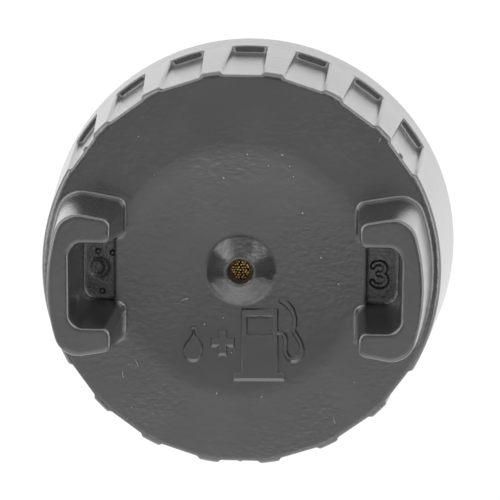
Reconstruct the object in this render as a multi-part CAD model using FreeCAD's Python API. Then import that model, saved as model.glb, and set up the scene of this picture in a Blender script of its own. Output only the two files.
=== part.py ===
import FreeCAD, Part

import math
import os

# Screw-on fuel filler cap of a small two-stroke machine. All sizes are in millimetres.
# The origin is the centre of the skirt's open end. +Z runs up the cap's axis to its face.
# The two grip lugs stand on the face at +X and -X.

# Thread bore, which takes the tank's neck
THREAD_ROOT_R = 22.85
THREAD_START = 3.6
THREAD_LENGTH = 10.8
LEAD_IN_STEP = 1.5
SEAT_BORE_STEP = 0.45

# Skirt
CAP_HEIGHT = 24.3
SKIRT_WALL = 2.15
SKIRT_DRAFT = 5.87
RIM_ROUND = 0.9
ROLL_SHARE = 0.94
OPEN_EDGE_CHAMFER = 0.35

# Grip recesses, in two runs centred on +Y and -Y
RECESS_PITCH = 18.0
RECESSES_PER_RUN = 7
RECESS_RIM_SHARE = 0.7
RECESS_END_SHARE = 0.54
RECESS_DEPTH = 0.5
RECESS_END = 6.0
RECESS_FLOOR_DRAFT = 4.2
RECESS_SIDE_DRAFT = 14.0
RECESS_ROUND = 0.5
RECESS_LIP_ROUND = 0.45
RIB_EDGE_ROUND = 0.25

# Face: an annulus that falls to the rim, a ridge ring and a shallow bowl inside it
FACE_WALL = 3.0
RIDGE_INSET = 9.7
RIDGE_RISE = 0.25
RIDGE_ROUND = 9.0
BOWL_DEPTH = 1.25

# Vent cone in the middle of the bowl
CONE_BASE_R = 4.5
CONE_HEIGHT = 1.68
CONE_FOOT_ROUND = 0.3
VENT_MOUTH_R = 1.72
VENT_LIP = 0.28
VENT_NECK_R = 1.15
VENT_NECK_LENGTH = 0.35

# Grip lugs: each a C that opens towards the axis
LUG_HEIGHT = 12.5
LUG_LEDGE = 1.16
LUG_SPINE = 4.05
LUG_REACH = 9.47
LUG_END_HALF_WIDTH = 9.0
LUG_MOUTH_HALF_WIDTH = 4.2
LUG_FLARE = 9.5
LUG_BACK_DRAFT = 5.9
LUG_SPINE_DRAFT = 0.2
LUG_END_DRAFT = 1.58
LUG_ARM_DRAFT = 4.1
LUG_MOUTH_DRAFT = 5.0
LUG_SHOULDER_ROUND = 3.0
LUG_END_ROUND = 1.0
LUG_INNER_ROUND = 1.7
LUG_CREST_ROUND = 0.5
LUG_FOOT_ROUND = 0.5
LUG_ROOT = 0.4

# Pocket in the face inside each lug
POCKET_DEPTH = 1.0
POCKET_LENGTH = 4.2

# The mould's date stamp, sunk in two steps in the floor of the pocket at -X
STAMP_R = 1.28
STAMP_INSERT_R = 0.85
STAMP_INSERT_SHIFT = 0.25
STAMP_STEP = 0.25

# Gasket under the face, and the collar that centres it
GASKET_WIDTH = 4.8
GASKET_THICK = 2.0
GASKET_FIT = 0.15
COLLAR_WALL = 1.6
COLLAR_DEPTH = 3.2
RIB_COUNT = 6
RIB_THICK = 1.4
RIB_DEPTH = 2.4

# Vent parts, from the filter under the cone down to the cage
FILTER_R = 3.0
FILTER_THICK = 2.0
PRESS_GAP = 0.02
BOSS_WALL = 2.3
VALVE_FLANGE_THICK = 1.0
VALVE_FLANGE_OVERLAP = 1.6
VALVE_BARREL_R = 2.2
VALVE_WALL = 0.7
VALVE_BARREL_LENGTH = 1.0
VALVE_BILL_LENGTH = 2.9
VALVE_LIP_THICK = 0.7
VALVE_SLIT = 0.08
BILL_CLEARANCE = 0.4
CAGE_WALL = 1.2
CAGE_PLATE = 1.2
CAGE_RIM = 0.6
CAGE_HOLES = 6
CAGE_HOLE_R = 0.55
CAGE_EDGE = 0.25

# How far a cutting shape runs on beyond the surface that it cuts
OVERRUN = 1.0

# What follows from the sizes above
RIM_R = THREAD_ROOT_R + SKIRT_WALL + RECESS_DEPTH
OPEN_R = RIM_R + CAP_HEIGHT * math.tan(math.radians(SKIRT_DRAFT))
RECESS_RIM_WIDTH = RECESS_RIM_SHARE * RIM_R * math.radians(RECESS_PITCH)
RECESS_END_WIDTH = RECESS_END_SHARE * OPEN_R * math.radians(RECESS_PITCH)
LEAD_IN_R = THREAD_ROOT_R + LEAD_IN_STEP
SEAT_BORE_R = THREAD_ROOT_R - SEAT_BORE_STEP
THREAD_END = THREAD_START + THREAD_LENGTH
UNDERSIDE = CAP_HEIGHT - FACE_WALL
RIDGE_R = RIM_R - RIDGE_INSET
RIDGE_Z = CAP_HEIGHT + RIDGE_RISE
BOWL_Z = RIDGE_Z - BOWL_DEPTH
CONE_TOP = BOWL_Z + CONE_HEIGHT
POCKET_FLOOR = CAP_HEIGHT - POCKET_DEPTH
GASKET_R = SEAT_BORE_R - GASKET_FIT
GASKET_BORE_R = GASKET_R - GASKET_WIDTH
COLLAR_R = GASKET_BORE_R - GASKET_FIT
COLLAR_BORE_R = COLLAR_R - COLLAR_WALL
FILTER_BOTTOM = BOWL_Z - FILTER_THICK
CAGE_BORE_R = FILTER_R + PRESS_GAP + VALVE_FLANGE_OVERLAP
BOSS_R = CAGE_BORE_R + BOSS_WALL
VALVE_BOTTOM = FILTER_BOTTOM - VALVE_FLANGE_THICK
BILL_TIP = VALVE_BOTTOM - VALVE_BARREL_LENGTH - VALVE_BILL_LENGTH
BOSS_END = BILL_TIP - BILL_CLEARANCE
CAGE_BOTTOM = BOSS_END - CAGE_PLATE

AXIS = FreeCAD.Vector(0, 0, 1)
ORIGIN = FreeCAD.Vector(0, 0, 0)


def rise(length, degrees):
    """What a length gains sideways at a draft angle."""
    return length * math.tan(math.radians(degrees))


def half_plane(r, z):
    """A point of a turned section: radius and height."""
    return FreeCAD.Vector(r, 0, z)


def turned(edges, degrees=360.0):
    """The solid that a closed section in the XZ plane makes when it is turned about Z."""
    face = Part.Face(Part.Wire(edges))
    return face.revolve(ORIGIN, AXIS, degrees)


def spread(edges, half_width):
    """The solid that a closed section in the XZ plane makes when it is drawn out to both sides."""
    face = Part.Face(Part.Wire(edges))
    face.translate(FreeCAD.Vector(0, -half_width, 0))
    return face.extrude(FreeCAD.Vector(0, 2 * half_width, 0))


def chain(points):
    """Straight edges from each (r, z) point to the next."""
    corners = [half_plane(r, z) for r, z in points]
    return [Part.makeLine(a, b) for a, b in zip(corners, corners[1:])]


def ring(inner_r, outer_r, bottom, top):
    """A plain flat ring about Z."""
    height = top - bottom
    base = FreeCAD.Vector(0, 0, bottom)
    return Part.makeCylinder(outer_r, height, base).cut(Part.makeCylinder(inner_r, height, base))


def flat_sided(low_corners, low_z, high_corners, high_z):
    """The solid with flat sides between two outlines that have the same number of (x, y) corners."""
    low = [FreeCAD.Vector(x, y, low_z) for x, y in low_corners]
    high = [FreeCAD.Vector(x, y, high_z) for x, y in high_corners]
    count = len(low)
    loops = [low, high]
    for i in range(count):
        j = (i + 1) % count
        loops.append([low[i], low[j], high[j], high[i]])
    faces = [Part.Face(Part.makePolygon(loop + loop[:1])) for loop in loops]
    return Part.makeSolid(Part.makeShell(faces))


def circle_edges(shape, radius, height, slack=0.02):
    """The full or part circles about Z that a shape has at this radius and height."""
    found = []
    for edge in shape.Edges:
        curve = edge.Curve
        if not isinstance(curve, Part.Circle):
            continue
        off_axis = math.hypot(curve.Center.x, curve.Center.y)
        if off_axis < slack and abs(curve.Radius - radius) < slack and abs(curve.Center.z - height) < slack:
            found.append(edge)
    return found


def bowl_height(r):
    """Height of the bowl's surface, which is part of a large sphere about the cap's axis."""
    sphere_r = (RIDGE_R**2 + BOWL_DEPTH**2) / (2 * BOWL_DEPTH)
    return BOWL_Z + sphere_r - math.sqrt(sphere_r**2 - r**2)


def annulus_height(r):
    """Height of the face between the ridge and the rim."""
    return CAP_HEIGHT + RIDGE_RISE * (RIM_R - r) / RIDGE_INSET


def shell_section():
    """Section of the cap without recesses, lugs and pockets: the outside, then the inside."""
    mean_r = (CONE_BASE_R + RIDGE_R) / 2
    lip_r = VENT_MOUTH_R + VENT_LIP
    lip_z = CONE_TOP - VENT_LIP / 4
    outside = chain([(OPEN_R, 0), (RIM_R, CAP_HEIGHT), (RIDGE_R, RIDGE_Z)])
    bowl = Part.Arc(
        half_plane(RIDGE_R, RIDGE_Z),
        half_plane(mean_r, bowl_height(mean_r)),
        half_plane(CONE_BASE_R, bowl_height(CONE_BASE_R)),
    ).toShape()
    flank = chain([(CONE_BASE_R, bowl_height(CONE_BASE_R)), (lip_r, lip_z)])
    lip = Part.Arc(
        half_plane(lip_r, lip_z),
        half_plane(VENT_MOUTH_R + VENT_LIP / 2, CONE_TOP),
        half_plane(VENT_MOUTH_R, lip_z),
    ).toShape()
    inside = chain(
        [
            (VENT_MOUTH_R, lip_z),
            (VENT_NECK_R, BOWL_Z + VENT_NECK_LENGTH),
            (VENT_NECK_R, BOWL_Z),
            (FILTER_R + PRESS_GAP, BOWL_Z),
            (FILTER_R + PRESS_GAP, FILTER_BOTTOM),
            (CAGE_BORE_R, FILTER_BOTTOM),
            (CAGE_BORE_R, BOSS_END),
            (BOSS_R, BOSS_END),
            (BOSS_R, UNDERSIDE),
            (COLLAR_BORE_R, UNDERSIDE),
            (COLLAR_BORE_R, UNDERSIDE - COLLAR_DEPTH),
            (COLLAR_R, UNDERSIDE - COLLAR_DEPTH),
            (COLLAR_R, UNDERSIDE),
            (SEAT_BORE_R, UNDERSIDE),
            (SEAT_BORE_R, THREAD_END + SEAT_BORE_STEP),
            (THREAD_ROOT_R, THREAD_END),
            (THREAD_ROOT_R, THREAD_START),
            (LEAD_IN_R, THREAD_START - LEAD_IN_STEP),
            (LEAD_IN_R, 0),
            (OPEN_R, 0),
        ]
    )
    return outside + [bowl] + flank + [lip] + inside


def recess_half_width(x, z):
    """Half the width of a recess at +X, which tapers down the skirt and narrows towards its floor."""
    share = (CAP_HEIGHT - z) / (CAP_HEIGHT - RECESS_END)
    at_skirt = RECESS_RIM_WIDTH + share * (RECESS_END_WIDTH - RECESS_RIM_WIDTH)
    skirt_x = RIM_R + rise(CAP_HEIGHT - z, SKIRT_DRAFT)
    return at_skirt / 2 + rise(x - skirt_x, RECESS_SIDE_DRAFT)


def recess_wedge(near_x, far_x, low_z, high_z):
    """The space between a recess's two side walls, from one x to another and one height to another."""
    outlines = []
    for z in (low_z, high_z):
        near, far = recess_half_width(near_x, z), recess_half_width(far_x, z)
        outlines.append([(near_x, -near), (far_x, -far), (far_x, far), (near_x, near)])
    return flat_sided(outlines[0], low_z, outlines[1], high_z)


def recess_cutter():
    """One grip recess at +X: open at the rim, with a flat drafted floor, drafted sides and an end wall."""
    floor_x = RIM_R - RECESS_DEPTH
    end_x = floor_x + rise(CAP_HEIGHT - RECESS_END, RECESS_FLOOR_DRAFT)
    beyond_x = OPEN_R + OVERRUN
    above = CAP_HEIGHT + OVERRUN
    above_x = floor_x - rise(above - CAP_HEIGHT, RECESS_FLOOR_DRAFT)
    # The main part has rounded corners along its floor and its end wall.
    low_corners = [(beyond_x, RECESS_END), (end_x, RECESS_END)]
    high_corners = [(above_x, above), (beyond_x, above)]
    section = chain(low_corners + high_corners + low_corners[:1])
    wedge = recess_wedge(above_x - OVERRUN, beyond_x, RECESS_END, above)
    main_part = spread(section, RECESS_RIM_WIDTH).common(wedge)
    corners = []
    for edge in main_part.Edges:
        middle = edge.valueAt((edge.FirstParameter + edge.LastParameter) / 2)
        on_floor = middle.x < end_x + 0.01 and middle.z < above - 0.01
        on_end = middle.z < RECESS_END + 0.01 and middle.x < beyond_x - 0.01
        if on_floor or on_end:
            corners.append(edge)
    main_part = main_part.makeFillet(RECESS_ROUND, corners)
    # At its open end the floor rolls over into the face, with a round that is raised a little so that
    # it crosses the face at an angle.
    centre_x = floor_x - RECESS_LIP_ROUND
    centre_z = annulus_height(centre_x) - RECESS_LIP_ROUND * ROLL_SHARE
    top_z = centre_z + RECESS_LIP_ROUND
    bulge = RECESS_LIP_ROUND * math.sqrt(0.5)
    roll = Part.Arc(
        half_plane(floor_x, centre_z),
        half_plane(centre_x + bulge, centre_z + bulge),
        half_plane(centre_x, top_z),
    ).toShape()
    section = [roll] + chain(
        [(centre_x, top_z), (centre_x, above), (beyond_x, above), (beyond_x, centre_z), (floor_x, centre_z)]
    )
    wedge = recess_wedge(centre_x - OVERRUN, beyond_x, centre_z - OVERRUN, above)
    mouth = spread(section, RECESS_RIM_WIDTH).common(wedge)
    return main_part.fuse(mouth).removeSplitter()


def lug_sizes(height):
    """The lug outline's sizes at a height above the face: back, spine, end, arm and mouth."""
    foot_r = RIM_R - LUG_LEDGE
    end_shift = rise(height, LUG_END_DRAFT)
    return {
        "back_r": foot_r - rise(height, LUG_BACK_DRAFT),
        "spine_x": foot_r - LUG_SPINE + rise(height, LUG_SPINE_DRAFT),
        "end_x": foot_r - LUG_REACH + end_shift,
        "arm_y": LUG_END_HALF_WIDTH - rise(height, LUG_ARM_DRAFT) + rise(end_shift, LUG_FLARE),
        "mouth_y": LUG_MOUTH_HALF_WIDTH + rise(height, LUG_MOUTH_DRAFT),
    }


def shoulder(sizes):
    """Where an arm's flared outer side meets the lug's round back."""
    slope = math.tan(math.radians(LUG_FLARE))
    offset = sizes["arm_y"] - slope * sizes["end_x"]
    a = 1 + slope**2
    b = slope * offset
    c = offset**2 - sizes["back_r"] ** 2
    x = (-b + math.sqrt(b * b - a * c)) / a
    return x, offset + slope * x


def arm_outline(height):
    """Corners of the two arms' outer sides, from the arms' ends to beyond the lug's back."""
    s = lug_sizes(height)
    far_x = OPEN_R
    far_y = s["arm_y"] + rise(far_x - s["end_x"], LUG_FLARE)
    return [(s["end_x"], -s["arm_y"]), (far_x, -far_y), (far_x, far_y), (s["end_x"], s["arm_y"])]


def mouth_outline(height):
    """Corners of the space between the arms, open towards the axis."""
    s = lug_sizes(height)
    near_x = RIDGE_R - LUG_REACH
    far_x, half = s["spine_x"], s["mouth_y"]
    return [(near_x, -half), (far_x, -half), (far_x, half), (near_x, half)]


def upright_edges(shape, x, y, height, slack=0.05):
    """The drafted corner edges whose crest ends lie at (x, y) or (x, -y)."""
    found = []
    for edge in shape.Edges:
        if len(edge.Vertexes) != 2:
            continue
        ends = sorted((v.Point for v in edge.Vertexes), key=lambda p: p.z)
        if ends[1].z - ends[0].z < height / 2:
            continue
        if abs(ends[1].x - x) < slack and abs(abs(ends[1].y) - y) < slack:
            found.append(edge)
    return found


def lug():
    """The grip lug at +X, from below the pocket's floor up to its rounded crest."""
    root = -(POCKET_DEPTH + LUG_ROOT)
    low_z, high_z = CAP_HEIGHT + root, CAP_HEIGHT + LUG_HEIGHT
    foot, crest = lug_sizes(root), lug_sizes(LUG_HEIGHT)
    back = Part.makeCone(foot["back_r"], crest["back_r"], high_z - low_z, FreeCAD.Vector(0, 0, low_z))
    arms = flat_sided(arm_outline(root), low_z, arm_outline(LUG_HEIGHT), high_z)
    mouth = flat_sided(mouth_outline(root), low_z, mouth_outline(LUG_HEIGHT), high_z)
    body = back.common(arms).cut(mouth)
    corners = [
        (shoulder(crest), LUG_SHOULDER_ROUND),
        ((crest["end_x"], crest["arm_y"]), LUG_END_ROUND),
        ((crest["end_x"], crest["mouth_y"]), LUG_END_ROUND),
        ((crest["spine_x"], crest["mouth_y"]), LUG_INNER_ROUND),
    ]
    for (x, y), radius in corners:
        body = body.makeFillet(radius, upright_edges(body, x, y, LUG_HEIGHT))
    crest_edges = [e for e in body.Edges if all(abs(v.Z - high_z) < 0.01 for v in e.Vertexes)]
    return body.makeFillet(LUG_CREST_ROUND, crest_edges)


def pocket_cutter():
    """The pocket sunk in the face inside the lug at +X, which runs under the lug's foot."""
    foot = lug_sizes(0)
    start_x = foot["spine_x"] - POCKET_LENGTH
    width = 2 * foot["mouth_y"] + LUG_END_ROUND
    corner = FreeCAD.Vector(start_x, -width / 2, POCKET_FLOOR)
    return Part.makeBox(POCKET_LENGTH + LUG_SPINE / 4, width, POCKET_DEPTH + RIDGE_RISE + OVERRUN, corner)


def date_stamp_cutters():
    """The two round steps of the date stamp, in the middle of the pocket at -X."""
    centre_x = POCKET_LENGTH / 2 - lug_sizes(0)["spine_x"]
    rim = FreeCAD.Vector(centre_x, 0, POCKET_FLOOR - STAMP_STEP)
    insert = FreeCAD.Vector(centre_x - STAMP_INSERT_SHIFT, 0, POCKET_FLOOR - 2 * STAMP_STEP)
    return [
        Part.makeCylinder(STAMP_R, STAMP_STEP + POCKET_DEPTH / 2, rim),
        Part.makeCylinder(STAMP_INSERT_R, STAMP_STEP + POCKET_DEPTH / 2, insert),
    ]


def foot_edges(shape, meeting):
    """The edges of a fused shape that lie on the lines where its parts met."""
    found = []
    for edge in shape.Edges:
        middle = edge.valueAt((edge.FirstParameter + edge.LastParameter) / 2)
        if meeting.distToShape(Part.Vertex(middle))[0] < 0.001:
            found.append(edge)
    return found


def opposite(shape):
    """The same shape turned half a turn about Z."""
    other = shape.copy()
    other.rotate(ORIGIN, AXIS, 180)
    return other


def stiffening_ribs():
    """Ribs under the face between the vent boss and the gasket's collar."""
    start_r = BOSS_R - BOSS_WALL / 2
    length = COLLAR_BORE_R + COLLAR_WALL / 2 - start_r
    corner = FreeCAD.Vector(start_r, -RIB_THICK / 2, UNDERSIDE - RIB_DEPTH)
    ribs = []
    for number in range(RIB_COUNT):
        rib = Part.makeBox(length, RIB_THICK, RIB_DEPTH + FACE_WALL / 4, corner)
        rib.rotate(ORIGIN, AXIS, number * 360 / RIB_COUNT)
        ribs.append(rib)
    return ribs


def recess_angles():
    """Angles of all the grip recesses about Z, in degrees."""
    reach = (RECESSES_PER_RUN - 1) / 2
    return [
        side + (number - reach) * RECESS_PITCH
        for side in (90, 270)
        for number in range(RECESSES_PER_RUN)
    ]


def rib_edges(shape):
    """The sharp edges that the grip recesses leave in the skirt's surface, below the rim's round."""
    found = []
    for edge in shape.Edges:
        middle = edge.valueAt((edge.FirstParameter + edge.LastParameter) / 2)
        if not RECESS_END - 0.01 < middle.z < CAP_HEIGHT - RIM_ROUND:
            continue
        points = [middle] + [v.Point for v in edge.Vertexes]
        off_skirt = [abs(math.hypot(p.x, p.y) - OPEN_R + rise(p.z, SKIRT_DRAFT)) for p in points]
        if max(off_skirt) < 0.02 and len(shape.ancestorsOfType(edge, Part.Face)) == 2:
            found.append(edge)
    return found


def cap_shell():
    """The one moulding: face, skirt, lugs, vent cone, and what holds the vent and the gasket."""
    body = turned(shell_section())
    body = body.makeFillet(RIM_ROUND, circle_edges(body, RIM_R, CAP_HEIGHT))
    body = body.makeChamfer(OPEN_EDGE_CHAMFER, circle_edges(body, OPEN_R, 0))
    body = body.makeFillet(RIDGE_ROUND, circle_edges(body, RIDGE_R, RIDGE_Z))
    body = body.makeFillet(CONE_FOOT_ROUND, circle_edges(body, CONE_BASE_R, bowl_height(CONE_BASE_R)))
    cutter = recess_cutter()
    cutters = []
    for angle in recess_angles():
        placed = cutter.copy()
        placed.rotate(ORIGIN, AXIS, angle)
        cutters.append(placed)
    body = body.cut(cutters)
    body = body.makeFillet(RIB_EDGE_ROUND, rib_edges(body))
    pocket = pocket_cutter()
    body = body.cut([pocket, opposite(pocket)])
    grips = [lug(), opposite(lug())]
    for grip in grips:
        meeting = body.section(grip)
        body = body.fuse(grip)
        body = body.makeFillet(LUG_FOOT_ROUND, foot_edges(body, meeting))
    body = body.cut(date_stamp_cutters())
    return body.fuse(stiffening_ribs()).removeSplitter()


def neck_gasket():
    """Flat rubber ring that seals on the tank's neck."""
    bottom = UNDERSIDE - GASKET_THICK
    return ring(GASKET_BORE_R, GASKET_R, bottom, UNDERSIDE)


def vent_filter():
    """Sintered bronze disc behind the vent hole."""
    return Part.makeCylinder(FILTER_R, FILTER_THICK, FreeCAD.Vector(0, 0, FILTER_BOTTOM))


def oval_wire(half_x, half_y, z):
    """A round or flattened loop about Z."""
    centre = FreeCAD.Vector(0, 0, z)
    if abs(half_x - half_y) < 1e-6:
        return Part.Wire(Part.Circle(centre, AXIS, half_x).toShape())
    return Part.Wire(Part.Ellipse(centre, half_x, half_y).toShape())


def duckbill_valve():
    """Rubber valve: a flange, a short barrel and a bill that flattens to a slit."""
    barrel_end = VALVE_BOTTOM - VALVE_BARREL_LENGTH
    bore_r = VALVE_BARREL_R - VALVE_WALL
    flange_r = CAGE_BORE_R - PRESS_GAP
    down = FreeCAD.Vector(0, 0, -1)
    seat = FreeCAD.Vector(0, 0, VALVE_BOTTOM)
    flange = Part.makeCylinder(flange_r, VALVE_FLANGE_THICK, seat)
    barrel = Part.makeCylinder(VALVE_BARREL_R, VALVE_BARREL_LENGTH, seat, down)
    lip_half = VALVE_BARREL_R + VALVE_LIP_THICK / 2
    bill_top = oval_wire(VALVE_BARREL_R, VALVE_BARREL_R, barrel_end)
    bill_tip = oval_wire(lip_half, VALVE_LIP_THICK / 2, BILL_TIP)
    bill = Part.makeLoft([bill_top, bill_tip], True, True)
    bore_length = VALVE_FLANGE_THICK + VALVE_BARREL_LENGTH
    bore = Part.makeCylinder(bore_r, bore_length, FreeCAD.Vector(0, 0, FILTER_BOTTOM), down)
    throat_top = oval_wire(bore_r, bore_r, barrel_end)
    throat_tip = oval_wire(lip_half - VALVE_WALL, VALVE_SLIT / 2, BILL_TIP)
    throat = Part.makeLoft([throat_top, throat_tip], True, True)
    return flange.fuse([barrel, bill]).cut([bore, throat]).removeSplitter()


def valve_cage():
    """Pressed plug under the valve: a sleeve, a rim that stops on the boss, and a drilled plate."""
    sleeve_r = CAGE_BORE_R - PRESS_GAP
    bore_r = sleeve_r - CAGE_WALL
    rim_r = BOSS_R - CAGE_RIM
    body = turned(
        chain(
            [
                (0, CAGE_BOTTOM),
                (rim_r - CAGE_EDGE, CAGE_BOTTOM),
                (rim_r, CAGE_BOTTOM + CAGE_EDGE),
                (rim_r, BOSS_END),
                (sleeve_r, BOSS_END),
                (sleeve_r, VALVE_BOTTOM),
                (bore_r, VALVE_BOTTOM),
                (bore_r, BOSS_END),
                (0, BOSS_END),
                (0, CAGE_BOTTOM),
            ]
        )
    )
    pitch_r = bore_r - 2 * CAGE_HOLE_R
    holes = []
    for number in range(CAGE_HOLES):
        angle = math.radians(number * 360 / CAGE_HOLES)
        start = FreeCAD.Vector(pitch_r * math.cos(angle), pitch_r * math.sin(angle), CAGE_BOTTOM)
        holes.append(Part.makeCylinder(CAGE_HOLE_R, CAGE_PLATE, start))
    return body.cut(holes)


def main():
    """Write every piece of the cap to its own file."""
    os.makedirs("parts", exist_ok=True)
    pieces = {
        "cap_shell": cap_shell(),
        "neck_gasket": neck_gasket(),
        "vent_filter": vent_filter(),
        "duckbill_valve": duckbill_valve(),
        "valve_cage": valve_cage(),
    }
    for name, shape in pieces.items():
        solid = shape.Solids[0] if len(shape.Solids) == 1 else shape
        solid.exportStep(f"parts/{name}.step")
        print(name, len(shape.Solids), "solid", round(shape.Volume, 1), "mm3", shape.isValid())


main()
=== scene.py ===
"""Fuel filler cap of a small two-stroke machine.

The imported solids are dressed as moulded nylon, rubber, sintered bronze and acetal. The raised
signs, the neck thread and the marks of moulding and of use are added, and the cap lies on a white
table.
"""

import logging
import math
import random
from dataclasses import dataclass, replace
from enum import Enum

import bmesh
import bpy
import numpy as np
from mathutils import Matrix, Vector
from mathutils.bvhtree import BVHTree


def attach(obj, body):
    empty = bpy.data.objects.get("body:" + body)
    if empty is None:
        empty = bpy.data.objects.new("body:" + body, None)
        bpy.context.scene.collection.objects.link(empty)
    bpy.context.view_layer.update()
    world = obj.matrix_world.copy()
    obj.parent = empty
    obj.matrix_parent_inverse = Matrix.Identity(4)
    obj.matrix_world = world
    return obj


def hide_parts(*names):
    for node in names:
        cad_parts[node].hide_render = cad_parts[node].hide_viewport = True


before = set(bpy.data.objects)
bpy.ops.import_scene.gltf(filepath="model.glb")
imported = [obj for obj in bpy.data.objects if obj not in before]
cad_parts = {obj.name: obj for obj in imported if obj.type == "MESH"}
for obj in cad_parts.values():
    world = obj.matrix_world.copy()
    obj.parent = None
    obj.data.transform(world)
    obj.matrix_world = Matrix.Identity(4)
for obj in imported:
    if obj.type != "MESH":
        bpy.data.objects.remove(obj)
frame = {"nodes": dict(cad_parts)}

LOG = logging.getLogger("filler_cap")
MM = 0.001
BODY = "root"
WHITE = (1.0, 1.0, 1.0, 1.0)
# Nearly all values of a noise pattern lie between these two.
NOISE_LOW, NOISE_HIGH = 0.35, 0.65

Points = tuple[tuple[float, float], ...]


class Slot(Enum):
    """Names of the record's material slots for the added pieces, which this script gives to no
    piece.
    """

    SHELL = "shell_nylon"
    FILTER = "filter_bronze"


def linear_colour(hex_code: str) -> tuple[float, float, float, float]:
    """Turn an sRGB hex value into the linear colour that a shader takes.

    Args:
        hex_code: A colour such as "#33353a".

    Returns:
        Red, green, blue and alpha, all linear.
    """
    channels = [int(hex_code[i : i + 2], 16) / 255 for i in (1, 3, 5)]
    linear = [c / 12.92 if c <= 0.04045 else ((c + 0.055) / 1.055) ** 2.4 for c in channels]
    return linear[0], linear[1], linear[2], 1.0


def per_metre(size_mm: float) -> float:
    """Texture scale at which one feature is this many millimetres wide."""
    return 1.0 / (size_mm * MM)


def add_node(
    tree: bpy.types.NodeTree,
    kind: str,
    inputs: dict[str | int, object] | None = None,
    **settings: object,
) -> bpy.types.Node:
    """Add a node with its settings, and with its inputs' values or links.

    Args:
        tree: The node tree that gets the node.
        kind: The node's type name.
        inputs: What each input takes: a plain value, or another node's output to link.
        **settings: The node's own properties.

    Returns:
        The new node.
    """
    node = tree.nodes.new(kind)
    for name, value in settings.items():
        setattr(node, name, value)
    for name, value in (inputs or {}).items():
        if isinstance(value, bpy.types.NodeSocket):
            tree.links.new(value, node.inputs[name])
        else:
            node.inputs[name].default_value = value
    return node


def empty_tree(owner: bpy.types.Material | bpy.types.World) -> bpy.types.NodeTree:
    """Turn on an owner's nodes and clear them.

    Args:
        owner: The material or the world.

    Returns:
        Its empty node tree.
    """
    owner.use_nodes = True
    owner.node_tree.nodes.clear()
    return owner.node_tree


@dataclass(frozen=True)
class Ground:
    """What a finish is drawn on.

    Attributes:
        tree: The material's node tree.
        shader: Its Principled shader.
        place: The object's own coordinates, in metres.
    """

    tree: bpy.types.NodeTree
    shader: bpy.types.Node
    place: bpy.types.NodeSocket

    def feed(self, value: bpy.types.NodeSocket, *names: str) -> None:
        """Link a value to the shader's inputs of these names."""
        for name in names:
            self.tree.links.new(value, self.shader.inputs[name])

    def set(self, name: str, value: float) -> None:
        """Set one of the shader's inputs, which is the same all over the surface."""
        self.shader.inputs[name].default_value = value

    def fade(
        self, low_mm: float, high_mm: float, below: float, above: float
    ) -> bpy.types.NodeSocket:
        """Change from one value to another between two heights.

        Args:
            low_mm: The height up to which the first value holds.
            high_mm: The height from which the second value holds.
            below: The first value.
            above: The second value.

        Returns:
            The value at each place.
        """
        height = add_node(self.tree, "ShaderNodeSeparateXYZ", {"Vector": self.place}).outputs["Z"]
        heights = {"Value": height, "From Min": low_mm * MM, "From Max": high_mm * MM}
        values = {"To Min": below, "To Max": above}
        return add_node(self.tree, "ShaderNodeMapRange", {**heights, **values}).outputs["Result"]

    def product(self, *values: bpy.types.NodeSocket) -> bpy.types.NodeSocket:
        """Multiply values at each place.

        Args:
            *values: The values.

        Returns:
            Their product.
        """
        result = values[0]
        for value in values[1:]:
            pair = {0: result, 1: value}
            result = add_node(self.tree, "ShaderNodeMath", pair, operation="MULTIPLY").outputs[0]
        return result


@dataclass(frozen=True)
class Pattern:
    """A cloudy pattern in a surface, whose values run from about 0.3 to 0.7.

    Attributes:
        size_mm: How wide its features are.
        depth_mm: How deep they are.
        detail: How many finer layers lie over them.
    """

    size_mm: float
    depth_mm: float = 0.0
    detail: float = 2.0

    def draw(
        self, ground: Ground, place: bpy.types.NodeSocket | None = None
    ) -> bpy.types.NodeSocket:
        """Draw the pattern.

        Args:
            ground: What it is drawn on.
            place: The coordinates to draw it in, if not the object's own.

        Returns:
            Its value at each place.
        """
        settings = {
            "Vector": ground.place if place is None else place,
            "Scale": per_metre(self.size_mm),
            "Detail": self.detail,
        }
        return add_node(ground.tree, "ShaderNodeTexNoise", settings).outputs["Fac"]

    def between(self, ground: Ground, low: float, high: float) -> bpy.types.NodeSocket:
        """Draw the pattern so that it swings between two values.

        Args:
            ground: What it is drawn on.
            low: The value in its hollows.
            high: The value on its tops.

        Returns:
            Its value at each place.
        """
        limits = {"From Min": NOISE_LOW, "From Max": NOISE_HIGH, "To Min": low, "To Max": high}
        swing = add_node(ground.tree, "ShaderNodeMapRange", {"Value": self.draw(ground), **limits})
        return swing.outputs["Result"]

    def emboss(
        self,
        ground: Ground,
        height: bpy.types.NodeSocket | None = None,
        normal: bpy.types.NodeSocket | None = None,
    ) -> bpy.types.NodeSocket:
        """Tilt the surface as the pattern's relief would.

        Args:
            ground: What it is drawn on.
            height: The pattern as drawn, if it is held back somewhere.
            normal: The surface's direction without it, if another relief lies under it.

        Returns:
            The surface's direction with it.
        """
        inputs: dict[str | int, object] = {
            "Height": self.draw(ground) if height is None else height,
            "Distance": self.depth_mm * MM,
            "Strength": 1.0,
        }
        if normal is not None:
            inputs["Normal"] = normal
        return add_node(ground.tree, "ShaderNodeBump", inputs).outputs["Normal"]


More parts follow.
